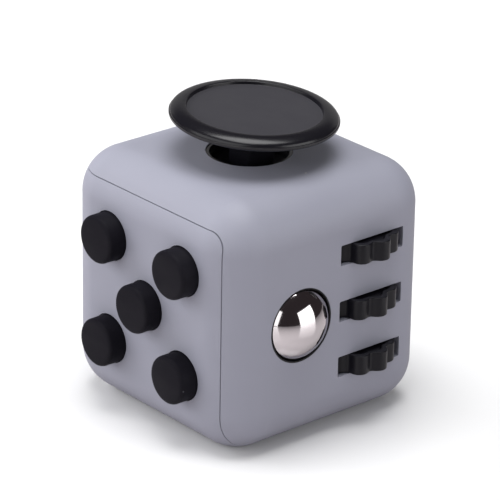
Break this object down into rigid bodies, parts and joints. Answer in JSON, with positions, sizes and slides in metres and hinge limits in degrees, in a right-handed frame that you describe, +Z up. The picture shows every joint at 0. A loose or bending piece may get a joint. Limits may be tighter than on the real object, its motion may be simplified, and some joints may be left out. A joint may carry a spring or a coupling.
{
  "type": "fidget cube",
  "caption": "Pocket desk toy: a rounded cube with a finger control on each face, for pressing, tilting, rolling, flipping, spinning and rubbing.",
  "frame": {"origin": "centre of the base face, on the surface that the cube rests on", "axes": "+Z up through the joystick face, -Y out of the push-button face, +X out of the ball and wheel face"},
  "size_m": [0.0375, 0.0373, 0.0394],
  "materials": {
    "casing": "fine matte, light bluish grey ABS",
    "button": "matte black",
    "plate": "moulded, dark grey",
    "steel": "turned",
    "spring_steel": "bright sprung steel",
    "soft_pad": "soft, milky",
    "joystick": "satin black, matte in the recess",
    "wheel": "satin black",
    "nylon": "natural nylon",
    "ball": "polished",
    "rocker": "satin black",
    "dial": "satin black"
  },
  "bodies": {
    "casing": {"ball_housing": "plate", "ball_housing_screws": "steel", "ball_spring": "spring_steel", "button_plate": "plate", "button_plate_screws": "steel", "flip_cradle": "plate", "flip_cradle_screws": "steel", "flip_pin": "steel", "glide_bowl": "joystick", "glide_housing": "plate", "glide_housing_screws": "steel", "glide_spring": "spring_steel", "lower_shell": "casing", "silent_pad_1": "soft_pad", "silent_pad_2": "soft_pad", "snap_dome_1": "spring_steel", "snap_dome_2": "spring_steel", "snap_dome_3": "spring_steel", "spin_wave_washer": "spring_steel", "upper_shell": "casing", "wheel_axle": "steel", "wheel_bracket": "plate", "wheel_bracket_screws": "steel", "wheel_click_spring": "spring_steel", "wheel_spacers": "nylon"},
    "button_1": {"click_button_1": "button"},
    "button_2": {"click_button_2": "button"},
    "button_3": {"click_button_3": "button"},
    "button_4": {"click_button_4": "button"},
    "button_5": {"click_button_5": "button"},
    "gimbal": {"glide_gimbal": "steel"},
    "joystick": {"glide_stem": "joystick", "glide_cap": "joystick"},
    "wheel_top": {"wheel_top": "wheel"},
    "wheel_middle": {"wheel_middle": "wheel"},
    "wheel_bottom": {"wheel_bottom": "wheel"},
    "ball_carrier": {"ball_cup": "nylon"},
    "ball": {"ball": "ball"},
    "rocker": {"flip_rocker": "rocker", "flip_plunger": "steel", "flip_spring": "spring_steel"},
    "dial": {"spin_dial": "dial", "spin_retainer": "steel", "spin_screw": "steel"}
  },
  "joints": [
    {"name": "button_1_press", "type": "slide", "parent": "casing", "child": "button_1", "axis": [0, 1, 0], "range_m": [0, 0.0009], "stiffness_N_per_m": 1500, "deforming": ["snap_dome_1"]},
    {"name": "button_2_press", "type": "slide", "parent": "casing", "child": "button_2", "axis": [0, 1, 0], "range_m": [0, 0.0009], "stiffness_N_per_m": 1500, "deforming": ["silent_pad_1"]},
    {"name": "button_3_press", "type": "slide", "parent": "casing", "child": "button_3", "axis": [0, 1, 0], "range_m": [0, 0.0009], "stiffness_N_per_m": 1500, "deforming": ["snap_dome_2"]},
    {"name": "button_4_press", "type": "slide", "parent": "casing", "child": "button_4", "axis": [0, 1, 0], "range_m": [0, 0.0009], "stiffness_N_per_m": 1500, "deforming": ["snap_dome_3"]},
    {"name": "button_5_press", "type": "slide", "parent": "casing", "child": "button_5", "axis": [0, 1, 0], "range_m": [0, 0.0009], "stiffness_N_per_m": 1500, "deforming": ["silent_pad_2"]},
    {"name": "joystick_tilt_y", "type": "hinge", "parent": "casing", "child": "gimbal", "pos_m": [0, 0, 0.028], "axis": [1, 0, 0], "range_deg": [-10.5, 13.5], "stiffness_Nm_per_rad": 0.06, "deforming": ["glide_spring"]},
    {"name": "joystick_tilt_x", "type": "hinge", "parent": "gimbal", "child": "joystick", "pos_m": [0, 0, 0.028], "axis": [0, 0.9997, -0.0262], "range_deg": [-15.29, 8.71], "stiffness_Nm_per_rad": 0.06, "deforming": ["glide_spring"]},
    {"name": "wheel_top_turn", "type": "hinge", "parent": "casing", "child": "wheel_top", "pos_m": [0.01365, 0.006, 0.0165], "axis": [0, 0, 1], "continuous": true},
    {"name": "wheel_middle_turn", "type": "hinge", "parent": "casing", "child": "wheel_middle", "pos_m": [0.01365, 0.006, 0.0165], "axis": [0, 0, 1], "continuous": true},
    {"name": "wheel_bottom_turn", "type": "hinge", "parent": "casing", "child": "wheel_bottom", "pos_m": [0.01365, 0.006, 0.0165], "axis": [0, 0, 1], "continuous": true},
    {"name": "ball_press", "type": "slide", "parent": "casing", "child": "ball_carrier", "axis": [-1, 0, 0], "range_m": [0, 0.001], "stiffness_N_per_m": 2000, "deforming": ["ball_spring"]},
    {"name": "ball_roll", "type": "hinge", "parent": "ball_carrier", "child": "ball", "pos_m": [0.0132, -0.0054, 0.0165], "axis": [0, 0, 1], "continuous": true},
    {"name": "rocker_flip", "type": "hinge", "parent": "casing", "child": "rocker", "pos_m": [0, 0.0137, 0.0165], "axis": [1, 0, 0], "range_deg": [-20, 0]},
    {"name": "dial_spin", "type": "hinge", "parent": "casing", "child": "dial", "pos_m": [-0.0165, 0, 0.0165], "axis": [1, 0, 0], "continuous": true}
  ]
}
